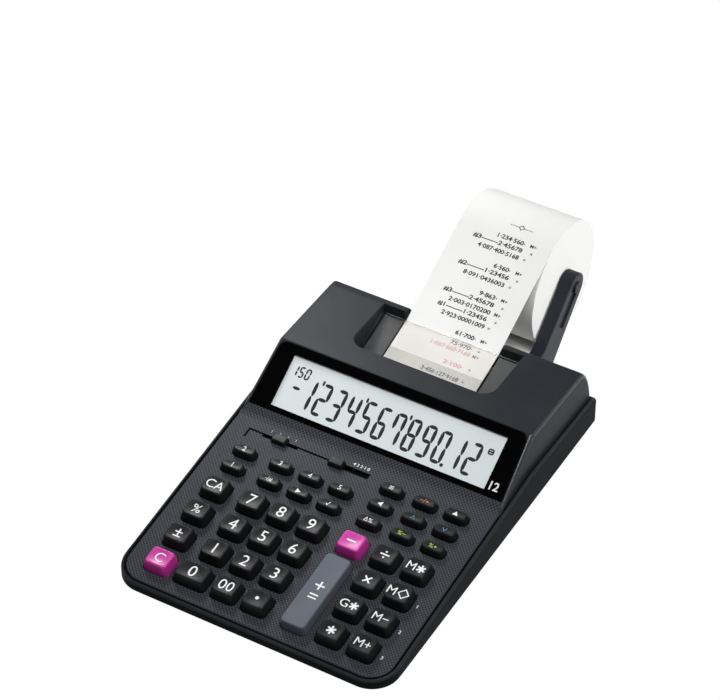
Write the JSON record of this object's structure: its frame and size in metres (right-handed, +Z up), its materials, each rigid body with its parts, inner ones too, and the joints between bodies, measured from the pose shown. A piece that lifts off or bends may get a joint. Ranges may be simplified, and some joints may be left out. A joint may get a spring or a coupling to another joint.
{
  "type": "printing desk calculator",
  "caption": "Wedge-shaped desk calculator with a sprung keypad, a tilted display and a roll-paper printer fed from a roll on swinging arms behind the case.",
  "frame": {"origin": "on the table, midway between the front edge of the case and the back of the paper roll", "axes": "+X to the user's right, +Y from the front edge to the paper roll, +Z up from the table"},
  "size_m": [0.165, 0.3282, 0.0786],
  "materials": {
    "case_plastic": "satin moulded",
    "key_black": "satin",
    "key_magenta": "satin",
    "key_slate": "satin",
    "bezel_gloss": "gloss",
    "lcd_glass": "satin",
    "mat_rubber": "matte",
    "board_laminate": "satin",
    "frame_plastic": "matte",
    "cover_clear": "gloss",
    "roller_rubber": "matte",
    "ink_felt": "matte",
    "arm_plastic": "satin",
    "paper_white": "matte"
  },
  "bodies": {
    "case": {"lower_case": "case_plastic", "upper_case": "case_plastic", "display_bezel": "bezel_gloss", "lcd_panel": "lcd_glass", "key_mat": "mat_rubber", "circuit_board": "board_laminate", "printer_frame": "frame_plastic", "paper_strip": "paper_white"},
    "roll_holder": {"left_arm": "arm_plastic", "right_arm": "arm_plastic"},
    "paper_roll": {"paper_roll": "paper_white"},
    "feed_roller": {"feed_roller": "roller_rubber"},
    "ink_roller": {"ink_roller": "ink_felt"},
    "printer_cover": {"printer_cover": "cover_clear"},
    "battery_door": {"battery_door": "case_plastic"},
    "mode_knob": {"mode_knob": "key_black"},
    "decimal_knob": {"decimal_knob": "key_black"},
    "key_clear": {"key_clear": "key_magenta"},
    "key_sign": {"key_sign": "key_black"},
    "key_percent": {"key_percent": "key_black"},
    "key_clear_all": {"key_clear_all": "key_black"},
    "key_double_zero": {"key_double_zero": "key_black"},
    "key_point": {"key_point": "key_black"},
    "key_0": {"key_0": "key_black"},
    "key_1": {"key_1": "key_black"},
    "key_2": {"key_2": "key_black"},
    "key_3": {"key_3": "key_black"},
    "key_4": {"key_4": "key_black"},
    "key_5": {"key_5": "key_black"},
    "key_6": {"key_6": "key_black"},
    "key_7": {"key_7": "key_black"},
    "key_8": {"key_8": "key_black"},
    "key_9": {"key_9": "key_black"},
    "key_minus": {"key_minus": "key_magenta"},
    "key_plus_equals": {"key_plus_equals": "key_slate"},
    "key_total": {"key_total": "key_black"},
    "key_grand_total": {"key_grand_total": "key_black"},
    "key_times": {"key_times": "key_black"},
    "key_divide": {"key_divide": "key_black"},
    "key_memory_plus": {"key_memory_plus": "key_black"},
    "key_memory_minus": {"key_memory_minus": "key_black"},
    "key_memory_subtotal": {"key_memory_subtotal": "key_black"},
    "key_memory_total": {"key_memory_total": "key_black"},
    "key_rate": {"key_rate": "key_black"},
    "key_time": {"key_time": "key_black"},
    "key_date": {"key_date": "key_black"},
    "key_shift": {"key_shift": "key_black"},
    "key_square_root": {"key_square_root": "key_black"},
    "key_cost": {"key_cost": "key_black"},
    "key_sell": {"key_sell": "key_black"},
    "key_margin": {"key_margin": "key_black"},
    "key_change": {"key_change": "key_black"},
    "key_tax_minus": {"key_tax_minus": "key_black"},
    "key_tax_plus": {"key_tax_plus": "key_black"},
    "key_correct": {"key_correct": "key_black"},
    "key_up": {"key_up": "key_black"},
    "key_down": {"key_down": "key_black"},
    "key_print": {"key_print": "key_black"},
    "key_after": {"key_after": "key_black"},
    "key_feed": {"key_feed": "key_black"}
  },
  "joints": [
    {"name": "mode_slide", "type": "slide", "parent": "case", "child": "mode_knob", "axis": [1, 0, 0], "range_m": [-0.0075, 0.0075]},
    {"name": "decimal_slide", "type": "slide", "parent": "case", "child": "decimal_knob", "axis": [1, 0, 0], "range_m": [0, 0.016]},
    {"name": "cover_lift", "type": "slide", "parent": "case", "child": "printer_cover", "axis": [0, 0, 1], "range_m": [0, 0.015]},
    {"name": "battery_door_slide", "type": "slide", "parent": "case", "child": "battery_door", "axis": [0, 1, 0], "range_m": [0, 0.06]},
    {"name": "holder_swing", "type": "hinge", "parent": "case", "child": "roll_holder", "pos_m": [0, 0.0732, 0.01], "axis": [1, 0, 0], "range_deg": [0, 45], "deforming": ["paper_strip"]},
    {"name": "roll_spin", "type": "hinge", "parent": "roll_holder", "child": "paper_roll", "pos_m": [0, 0.1274, 0.0413], "axis": [1, 0, 0], "continuous": true},
    {"name": "feed_spin", "type": "hinge", "parent": "case", "child": "feed_roller", "pos_m": [0, 0.0262, 0.02838], "axis": [1, 0, 0], "continuous": true},
    {"name": "ink_spin", "type": "hinge", "parent": "case", "child": "ink_roller", "pos_m": [0, 0.0419, 0.03], "axis": [1, 0, 0], "continuous": true},
    {"name": "key_clear_press", "type": "slide", "parent": "case", "child": "key_clear", "axis": [0, -0.1392, 0.9903], "range_m": [-0.0015, 0], "stiffness_N_per_m": 300},
    {"name": "key_sign_press", "type": "slide", "parent": "case", "child": "key_sign", "axis": [0, -0.1392, 0.9903], "range_m": [-0.0015, 0], "stiffness_N_per_m": 300},
    {"name": "key_percent_press", "type": "slide", "parent": "case", "child": "key_percent", "axis": [0, -0.1392, 0.9903], "range_m": [-0.0015, 0], "stiffness_N_per_m": 300},
    {"name": "key_clear_all_press", "type": "slide", "parent": "case", "child": "key_clear_all", "axis": [0, -0.1392, 0.9903], "range_m": [-0.0015, 0], "stiffness_N_per_m": 300},
    {"name": "key_double_zero_press", "type": "slide", "parent": "case", "child": "key_double_zero", "axis": [0, -0.1392, 0.9903], "range_m": [-0.0015, 0], "stiffness_N_per_m": 300},
    {"name": "key_point_press", "type": "slide", "parent": "case", "child": "key_point", "axis": [0, -0.1392, 0.9903], "range_m": [-0.0015, 0], "stiffness_N_per_m": 300},
    {"name": "key_0_press", "type": "slide", "parent": "case", "child": "key_0", "axis": [0, -0.1392, 0.9903], "range_m": [-0.0015, 0], "stiffness_N_per_m": 300},
    {"name": "key_1_press", "type": "slide", "parent": "case", "child": "key_1", "axis": [0, -0.1392, 0.9903], "range_m": [-0.0015, 0], "stiffness_N_per_m": 300},
    {"name": "key_2_press", "type": "slide", "parent": "case", "child": "key_2", "axis": [0, -0.1392, 0.9903], "range_m": [-0.0015, 0], "stiffness_N_per_m": 300},
    {"name": "key_3_press", "type": "slide", "parent": "case", "child": "key_3", "axis": [0, -0.1392, 0.9903], "range_m": [-0.0015, 0], "stiffness_N_per_m": 300},
    {"name": "key_4_press", "type": "slide", "parent": "case", "child": "key_4", "axis": [0, -0.1392, 0.9903], "range_m": [-0.0015, 0], "stiffness_N_per_m": 300},
    {"name": "key_5_press", "type": "slide", "parent": "case", "child": "key_5", "axis": [0, -0.1392, 0.9903], "range_m": [-0.0015, 0], "stiffness_N_per_m": 300},
    {"name": "key_6_press", "type": "slide", "parent": "case", "child": "key_6", "axis": [0, -0.1392, 0.9903], "range_m": [-0.0015, 0], "stiffness_N_per_m": 300},
    {"name": "key_7_press", "type": "slide", "parent": "case", "child": "key_7", "axis": [0, -0.1392, 0.9903], "range_m": [-0.0015, 0], "stiffness_N_per_m": 300},
    {"name": "key_8_press", "type": "slide", "parent": "case", "child": "key_8", "axis": [0, -0.1392, 0.9903], "range_m": [-0.0015, 0], "stiffness_N_per_m": 300},
    {"name": "key_9_press", "type": "slide", "parent": "case", "child": "key_9", "axis": [0, -0.1392, 0.9903], "range_m": [-0.0015, 0], "stiffness_N_per_m": 300},
    {"name": "key_minus_press", "type": "slide", "parent": "case", "child": "key_minus", "axis": [0, -0.1392, 0.9903], "range_m": [-0.0015, 0], "stiffness_N_per_m": 300},
    {"name": "key_plus_equals_press", "type": "slide", "parent": "case", "child": "key_plus_equals", "axis": [0, -0.1392, 0.9903], "range_m": [-0.0015, 0], "stiffness_N_per_m": 300},
    {"name": "key_total_press", "type": "slide", "parent": "case", "child": "key_total", "axis": [0, -0.1392, 0.9903], "range_m": [-0.0015, 0], "stiffness_N_per_m": 300},
    {"name": "key_grand_total_press", "type": "slide", "parent": "case", "child": "key_grand_total", "axis": [0, -0.1392, 0.9903], "range_m": [-0.0015, 0], "stiffness_N_per_m": 300},
    {"name": "key_times_press", "type": "slide", "parent": "case", "child": "key_times", "axis": [0, -0.1392, 0.9903], "range_m": [-0.0015, 0], "stiffness_N_per_m": 300},
    {"name": "key_divide_press", "type": "slide", "parent": "case", "child": "key_divide", "axis": [0, -0.1392, 0.9903], "range_m": [-0.0015, 0], "stiffness_N_per_m": 300},
    {"name": "key_memory_plus_press", "type": "slide", "parent": "case", "child": "key_memory_plus", "axis": [0, -0.1392, 0.9903], "range_m": [-0.0015, 0], "stiffness_N_per_m": 300},
    {"name": "key_memory_minus_press", "type": "slide", "parent": "case", "child": "key_memory_minus", "axis": [0, -0.1392, 0.9903], "range_m": [-0.0015, 0], "stiffness_N_per_m": 300},
    {"name": "key_memory_subtotal_press", "type": "slide", "parent": "case", "child": "key_memory_subtotal", "axis": [0, -0.1392, 0.9903], "range_m": [-0.0015, 0], "stiffness_N_per_m": 300},
    {"name": "key_memory_total_press", "type": "slide", "parent": "case", "child": "key_memory_total", "axis": [0, -0.1392, 0.9903], "range_m": [-0.0015, 0], "stiffness_N_per_m": 300},
    {"name": "key_rate_press", "type": "slide", "parent": "case", "child": "key_rate", "axis": [0, -0.1392, 0.9903], "range_m": [-0.0015, 0], "stiffness_N_per_m": 300},
    {"name": "key_time_press", "type": "slide", "parent": "case", "child": "key_time", "axis": [0, -0.1392, 0.9903], "range_m": [-0.0015, 0], "stiffness_N_per_m": 300},
    {"name": "key_date_press", "type": "slide", "parent": "case", "child": "key_date", "axis": [0, -0.1392, 0.9903], "range_m": [-0.0015, 0], "stiffness_N_per_m": 300},
    {"name": "key_shift_press", "type": "slide", "parent": "case", "child": "key_shift", "axis": [0, -0.1392, 0.9903], "range_m": [-0.0015, 0], "stiffness_N_per_m": 300},
    {"name": "key_square_root_press", "type": "slide", "parent": "case", "child": "key_square_root", "axis": [0, -0.1392, 0.9903], "range_m": [-0.0015, 0], "stiffness_N_per_m": 300},
    {"name": "key_cost_press", "type": "slide", "parent": "case", "child": "key_cost", "axis": [0, -0.1392, 0.9903], "range_m": [-0.0015, 0], "stiffness_N_per_m": 300},
    {"name": "key_sell_press", "type": "slide", "parent": "case", "child": "key_sell", "axis": [0, -0.1392, 0.9903], "range_m": [-0.0015, 0], "stiffness_N_per_m": 300},
    {"name": "key_margin_press", "type": "slide", "parent": "case", "child": "key_margin", "axis": [0, -0.1392, 0.9903], "range_m": [-0.0015, 0], "stiffness_N_per_m": 300},
    {"name": "key_change_press", "type": "slide", "parent": "case", "child": "key_change", "axis": [0, -0.1392, 0.9903], "range_m": [-0.0015, 0], "stiffness_N_per_m": 300},
    {"name": "key_tax_minus_press", "type": "slide", "parent": "case", "child": "key_tax_minus", "axis": [0, -0.1392, 0.9903], "range_m": [-0.0015, 0], "stiffness_N_per_m": 300},
    {"name": "key_tax_plus_press", "type": "slide", "parent": "case", "child": "key_tax_plus", "axis": [0, -0.1392, 0.9903], "range_m": [-0.0015, 0], "stiffness_N_per_m": 300},
    {"name": "key_correct_press", "type": "slide", "parent": "case", "child": "key_correct", "axis": [0, -0.1392, 0.9903], "range_m": [-0.0015, 0], "stiffness_N_per_m": 300},
    {"name": "key_up_press", "type": "slide", "parent": "case", "child": "key_up", "axis": [0, -0.1392, 0.9903], "range_m": [-0.0015, 0], "stiffness_N_per_m": 300},
    {"name": "key_down_press", "type": "slide", "parent": "case", "child": "key_down", "axis": [0, -0.1392, 0.9903], "range_m": [-0.0015, 0], "stiffness_N_per_m": 300},
    {"name": "key_print_press", "type": "slide", "parent": "case", "child": "key_print", "axis": [0, -0.1392, 0.9903], "range_m": [-0.0015, 0], "stiffness_N_per_m": 300},
    {"name": "key_after_press", "type": "slide", "parent": "case", "child": "key_after", "axis": [0, -0.1392, 0.9903], "range_m": [-0.0015, 0], "stiffness_N_per_m": 300},
    {"name": "key_feed_press", "type": "slide", "parent": "case", "child": "key_feed", "axis": [0, -0.1392, 0.9903], "range_m": [-0.0015, 0], "stiffness_N_per_m": 300}
  ],
  "couplings": [
    {"joint": "feed_spin", "follows": "roll_spin", "ratio": 5.2429}
  ]
}
